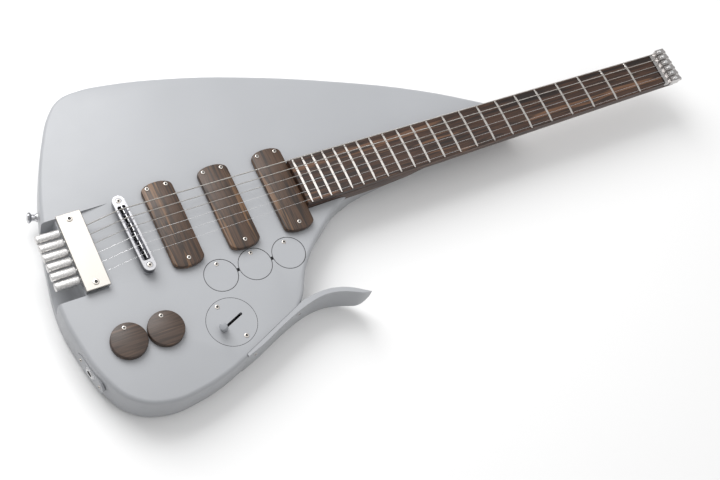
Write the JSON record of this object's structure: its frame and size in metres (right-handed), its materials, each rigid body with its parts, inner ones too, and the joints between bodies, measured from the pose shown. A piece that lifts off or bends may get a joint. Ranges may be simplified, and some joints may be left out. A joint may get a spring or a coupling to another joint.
{
  "type": "electric guitar",
  "caption": "Headless solid-body electric guitar with a curved leg rest, wood pickup covers and knobs, flush push buttons, tail tuners and a string-lock head",
  "frame": {"origin": "on the flat back of the body, straight below the bridge line and the middle of the strings", "axes": "+X along the strings toward the head, +Y toward the bass side, +Z out of the front of the body"},
  "size_m": [0.7672, 0.3475, 0.0595],
  "materials": {
    "body_paint": "satin",
    "metal_paint": "satin",
    "dark_wood": "satin oil",
    "neck_wood": "satin oil",
    "chrome": "polished",
    "satin_nickel": "satin",
    "steel": "plain",
    "dark_plastic": "matte",
    "circuit_board": "matte"
  },
  "bodies": {
    "guitar": {"body": "body_paint", "bridge_base": "chrome", "bridge_post_bass": "chrome", "bridge_post_treble": "chrome", "button_board": "circuit_board", "fretboard": "dark_wood", "headpiece": "satin_nickel", "jack_plate": "metal_paint", "jack_socket": "steel", "leg_rest": "body_paint", "neck": "neck_wood", "pickup_1": "dark_wood", "pickup_2": "dark_wood", "pickup_3": "dark_wood", "rear_cover": "dark_plastic", "selector_frame": "steel", "selector_plate": "metal_paint", "strap_button": "chrome", "string_1": "steel", "string_2": "steel", "string_3": "steel", "string_4": "steel", "string_5": "steel", "string_6": "steel", "tail_plate": "satin_nickel", "tone_pot": "steel", "truss_rod": "steel", "tuner_block": "steel", "volume_pot": "steel"},
    "button_1": {"button_1": "metal_paint"},
    "button_2": {"button_2": "metal_paint"},
    "button_3": {"button_3": "metal_paint"},
    "clamp_screw_1": {"clamp_screw_1": "steel"},
    "clamp_screw_2": {"clamp_screw_2": "steel"},
    "clamp_screw_3": {"clamp_screw_3": "steel"},
    "clamp_screw_4": {"clamp_screw_4": "steel"},
    "clamp_screw_5": {"clamp_screw_5": "steel"},
    "clamp_screw_6": {"clamp_screw_6": "steel"},
    "saddle_1": {"saddle_1": "chrome"},
    "saddle_2": {"saddle_2": "chrome"},
    "saddle_3": {"saddle_3": "chrome"},
    "saddle_4": {"saddle_4": "chrome"},
    "saddle_5": {"saddle_5": "chrome"},
    "saddle_6": {"saddle_6": "chrome"},
    "selector_lever": {"selector_lever": "metal_paint"},
    "string_puller_1": {"string_puller_1": "steel"},
    "string_puller_2": {"string_puller_2": "steel"},
    "string_puller_3": {"string_puller_3": "steel"},
    "string_puller_4": {"string_puller_4": "steel"},
    "string_puller_5": {"string_puller_5": "steel"},
    "string_puller_6": {"string_puller_6": "steel"},
    "tone_knob": {"tone_knob": "dark_wood"},
    "tuner_knob_1": {"tuner_knob_1": "satin_nickel"},
    "tuner_knob_2": {"tuner_knob_2": "satin_nickel"},
    "tuner_knob_3": {"tuner_knob_3": "satin_nickel"},
    "tuner_knob_4": {"tuner_knob_4": "satin_nickel"},
    "tuner_knob_5": {"tuner_knob_5": "satin_nickel"},
    "tuner_knob_6": {"tuner_knob_6": "satin_nickel"},
    "volume_knob": {"volume_knob": "dark_wood"}
  },
  "joints": [
    {"name": "tuner_turn_1", "type": "hinge", "parent": "guitar", "child": "tuner_knob_1", "pos_m": [-0.0676, 0.0258, 0.045], "axis": [1, 0, 0], "range_deg": [-1440, 0]},
    {"name": "puller_slide_1", "type": "slide", "parent": "guitar", "child": "string_puller_1", "axis": [1, 0, 0], "range_m": [-0.004, 0]},
    {"name": "saddle_slide_1", "type": "slide", "parent": "guitar", "child": "saddle_1", "axis": [0.9992, 0.0405, 0], "range_m": [-0.0015, 0.0015]},
    {"name": "clamp_turn_1", "type": "hinge", "parent": "guitar", "child": "clamp_screw_1", "pos_m": [0.6615, 0.01858, 0.0585], "axis": [0, 0, 1], "range_deg": [0, 360]},
    {"name": "tuner_turn_2", "type": "hinge", "parent": "guitar", "child": "tuner_knob_2", "pos_m": [-0.0676, 0.01536, 0.045], "axis": [1, 0, 0], "range_deg": [-1440, 0]},
    {"name": "puller_slide_2", "type": "slide", "parent": "guitar", "child": "string_puller_2", "axis": [1, 0, 0], "range_m": [-0.004, 0]},
    {"name": "saddle_slide_2", "type": "slide", "parent": "guitar", "child": "saddle_2", "axis": [0.9992, 0.0405, 0], "range_m": [-0.0015, 0.0015]},
    {"name": "clamp_turn_2", "type": "hinge", "parent": "guitar", "child": "clamp_screw_2", "pos_m": [0.6615, 0.01107, 0.0585], "axis": [0, 0, 1], "range_deg": [0, 360]},
    {"name": "tuner_turn_3", "type": "hinge", "parent": "guitar", "child": "tuner_knob_3", "pos_m": [-0.0676, 0.00492, 0.045], "axis": [1, 0, 0], "range_deg": [-1440, 0]},
    {"name": "puller_slide_3", "type": "slide", "parent": "guitar", "child": "string_puller_3", "axis": [1, 0, 0], "range_m": [-0.004, 0]},
    {"name": "saddle_slide_3", "type": "slide", "parent": "guitar", "child": "saddle_3", "axis": [0.9992, 0.0405, 0], "range_m": [-0.0015, 0.0015]},
    {"name": "clamp_turn_3", "type": "hinge", "parent": "guitar", "child": "clamp_screw_3", "pos_m": [0.6615, 0.00356, 0.0585], "axis": [0, 0, 1], "range_deg": [0, 360]},
    {"name": "tuner_turn_4", "type": "hinge", "parent": "guitar", "child": "tuner_knob_4", "pos_m": [-0.0676, -0.00552, 0.045], "axis": [1, 0, 0], "range_deg": [-1440, 0]},
    {"name": "puller_slide_4", "type": "slide", "parent": "guitar", "child": "string_puller_4", "axis": [1, 0, 0], "range_m": [-0.004, 0]},
    {"name": "saddle_slide_4", "type": "slide", "parent": "guitar", "child": "saddle_4", "axis": [0.9992, 0.0405, 0], "range_m": [-0.0015, 0.0015]},
    {"name": "clamp_turn_4", "type": "hinge", "parent": "guitar", "child": "clamp_screw_4", "pos_m": [0.6615, -0.00395, 0.0585], "axis": [0, 0, 1], "range_deg": [0, 360]},
    {"name": "tuner_turn_5", "type": "hinge", "parent": "guitar", "child": "tuner_knob_5", "pos_m": [-0.0676, -0.01596, 0.045], "axis": [1, 0, 0], "range_deg": [-1440, 0]},
    {"name": "puller_slide_5", "type": "slide", "parent": "guitar", "child": "string_puller_5", "axis": [1, 0, 0], "range_m": [-0.004, 0]},
    {"name": "saddle_slide_5", "type": "slide", "parent": "guitar", "child": "saddle_5", "axis": [0.9992, 0.0405, 0], "range_m": [-0.0015, 0.0015]},
    {"name": "clamp_turn_5", "type": "hinge", "parent": "guitar", "child": "clamp_screw_5", "pos_m": [0.6615, -0.01146, 0.0585], "axis": [0, 0, 1], "range_deg": [0, 360]},
    {"name": "tuner_turn_6", "type": "hinge", "parent": "guitar", "child": "tuner_knob_6", "pos_m": [-0.0676, -0.0264, 0.045], "axis": [1, 0, 0], "range_deg": [-1440, 0]},
    {"name": "puller_slide_6", "type": "slide", "parent": "guitar", "child": "string_puller_6", "axis": [1, 0, 0], "range_m": [-0.004, 0]},
    {"name": "saddle_slide_6", "type": "slide", "parent": "guitar", "child": "saddle_6", "axis": [0.9992, 0.0405, 0], "range_m": [-0.0015, 0.0015]},
    {"name": "clamp_turn_6", "type": "hinge", "parent": "guitar", "child": "clamp_screw_6", "pos_m": [0.6615, -0.01897, 0.0585], "axis": [0, 0, 1], "range_deg": [0, 360]},
    {"name": "volume_turn", "type": "hinge", "parent": "guitar", "child": "volume_knob", "pos_m": [-0.0469, -0.1009, 0.0425], "axis": [0, 0, 1], "range_deg": [-150, 150]},
    {"name": "tone_turn", "type": "hinge", "parent": "guitar", "child": "tone_knob", "pos_m": [-0.0095, -0.1012, 0.0425], "axis": [0, 0, 1], "range_deg": [-150, 150]},
    {"name": "button_press_1", "type": "slide", "parent": "guitar", "child": "button_1", "axis": [0, 0, -1], "range_m": [0, 0.0025], "stiffness_N_per_m": 400, "springref_m": -0.001},
    {"name": "button_press_2", "type": "slide", "parent": "guitar", "child": "button_2", "axis": [0, 0, -1], "range_m": [0, 0.0025], "stiffness_N_per_m": 400, "springref_m": -0.001},
    {"name": "button_press_3", "type": "slide", "parent": "guitar", "child": "button_3", "axis": [0, 0, -1], "range_m": [0, 0.0025], "stiffness_N_per_m": 400, "springref_m": -0.001},
    {"name": "selector_swing", "type": "hinge", "parent": "guitar", "child": "selector_lever", "pos_m": [0.0538, -0.1155, 0.014], "axis": [-0.3778, 0.9259, 0], "range_deg": [0, 40]}
  ],
  "couplings": [
    {"joint": "puller_slide_1", "follows": "tuner_turn_1", "m_per_rad": 0.00015915},
    {"joint": "puller_slide_2", "follows": "tuner_turn_2", "m_per_rad": 0.00015915},
    {"joint": "puller_slide_3", "follows": "tuner_turn_3", "m_per_rad": 0.00015915},
    {"joint": "puller_slide_4", "follows": "tuner_turn_4", "m_per_rad": 0.00015915},
    {"joint": "puller_slide_5", "follows": "tuner_turn_5", "m_per_rad": 0.00015915},
    {"joint": "puller_slide_6", "follows": "tuner_turn_6", "m_per_rad": 0.00015915}
  ]
}
